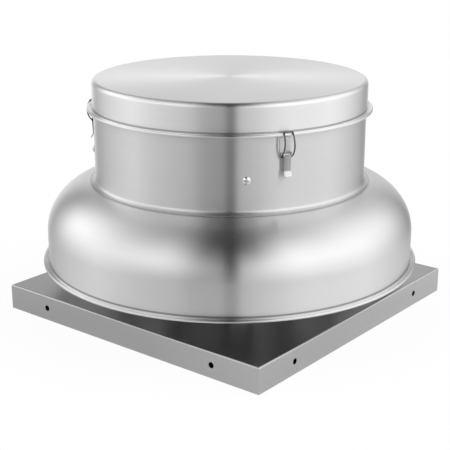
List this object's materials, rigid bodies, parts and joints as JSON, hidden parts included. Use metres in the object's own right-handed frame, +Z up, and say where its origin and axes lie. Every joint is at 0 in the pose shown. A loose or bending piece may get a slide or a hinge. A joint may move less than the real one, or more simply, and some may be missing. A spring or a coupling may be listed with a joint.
{
  "type": "roof exhaust fan",
  "caption": "Downblast roof exhaust fan: spun round windband and latched motor cover on a square curb cap, with a backward-curved wheel and motor inside.",
  "frame": {"origin": "middle of the curb cap's square footprint at its lower rim", "axes": "+Z up along the wheel's axis; the curb cap's sides lie along X and Y"},
  "size_m": [0.5775, 0.5776, 0.3581],
  "materials": {
    "spun_aluminium": "spun satin",
    "sheet_aluminium": "mill, semi-gloss",
    "galvanised_steel": "galvanised, satin",
    "wheel_aluminium": "mill",
    "zinc_steel": "zinc plated",
    "stainless_steel": "polished",
    "motor_paint": "satin",
    "core_steel": "laminated",
    "ground_steel": "ground",
    "hub_iron": "machined",
    "rubber": "matt"
  },
  "bodies": {
    "fan_body": {"curb_cap": "sheet_aluminium", "inlet_venturi": "spun_aluminium", "venturi_rivets": "zinc_steel", "support_leg_1": "galvanised_steel", "support_leg_2": "galvanised_steel", "support_leg_3": "galvanised_steel", "support_leg_4": "galvanised_steel", "leg_bolts": "zinc_steel", "windband": "spun_aluminium", "motor_plate": "galvanised_steel", "motor_housing": "spun_aluminium", "housing_screws": "stainless_steel", "motor_cover": "spun_aluminium", "latch_base_1": "stainless_steel", "latch_base_2": "stainless_steel", "latch_base_3": "stainless_steel", "latch_pins": "stainless_steel", "latch_rivets": "zinc_steel", "isolators": "rubber", "motor_bracket": "galvanised_steel", "isolator_bolts": "zinc_steel", "motor_lower_bell": "motor_paint", "motor_shell": "motor_paint", "motor_upper_bell": "motor_paint", "stator": "core_steel", "lower_bearing": "ground_steel", "upper_bearing": "ground_steel", "motor_bolts": "zinc_steel", "conduit_tube": "zinc_steel", "conduit_locknuts": "zinc_steel", "junction_box": "galvanised_steel", "junction_box_lid": "galvanised_steel", "box_lid_screws": "zinc_steel", "box_grommet": "rubber"},
    "fan_wheel": {"rotor": "core_steel", "motor_shaft": "ground_steel", "wheel_hub": "hub_iron", "hub_set_screw": "zinc_steel", "wheel_back_plate": "wheel_aluminium", "hub_rivets": "zinc_steel", "wheel_inlet_ring": "wheel_aluminium", "wheel_blade_1": "wheel_aluminium", "wheel_blade_2": "wheel_aluminium", "wheel_blade_3": "wheel_aluminium", "wheel_blade_4": "wheel_aluminium", "wheel_blade_5": "wheel_aluminium", "wheel_blade_6": "wheel_aluminium", "wheel_blade_7": "wheel_aluminium", "wheel_blade_8": "wheel_aluminium", "wheel_blade_9": "wheel_aluminium"},
    "lever_1": {"latch_lever_1": "stainless_steel"},
    "bail_1": {"latch_bail_1": "stainless_steel"},
    "lever_2": {"latch_lever_2": "stainless_steel"},
    "bail_2": {"latch_bail_2": "stainless_steel"},
    "lever_3": {"latch_lever_3": "stainless_steel"},
    "bail_3": {"latch_bail_3": "stainless_steel"}
  },
  "joints": [
    {"name": "wheel_spin", "type": "hinge", "parent": "fan_body", "child": "fan_wheel", "pos_m": [0, 0, 0.17], "axis": [0, 0, 1], "continuous": true},
    {"name": "lever_1_turn", "type": "hinge", "parent": "fan_body", "child": "lever_1", "pos_m": [0.18342, -0.1059, 0.2866], "axis": [-0.5, -0.866, 0], "range_deg": [0, 150]},
    {"name": "bail_1_turn", "type": "hinge", "parent": "lever_1", "child": "bail_1", "pos_m": [0.18149, -0.10479, 0.28258], "axis": [-0.5, -0.866, 0], "range_deg": [-180, 0]},
    {"name": "lever_2_turn", "type": "hinge", "parent": "fan_body", "child": "lever_2", "pos_m": [0, 0.2118, 0.2866], "axis": [1, 0, 0], "range_deg": [0, 150]},
    {"name": "bail_2_turn", "type": "hinge", "parent": "lever_2", "child": "bail_2", "pos_m": [0, 0.20957, 0.28258], "axis": [1, 0, 0], "range_deg": [-180, 0]},
    {"name": "lever_3_turn", "type": "hinge", "parent": "fan_body", "child": "lever_3", "pos_m": [-0.18342, -0.1059, 0.2866], "axis": [-0.5, 0.866, 0], "range_deg": [0, 150]},
    {"name": "bail_3_turn", "type": "hinge", "parent": "lever_3", "child": "bail_3", "pos_m": [-0.18149, -0.10479, 0.28258], "axis": [-0.5, 0.866, 0], "range_deg": [-180, 0]}
  ],
  "couplings": [
    {"joint": "bail_1_turn", "follows": "lever_1_turn", "ratio": -1.2},
    {"joint": "bail_2_turn", "follows": "lever_2_turn", "ratio": -1.2},
    {"joint": "bail_3_turn", "follows": "lever_3_turn", "ratio": -1.2}
  ]
}
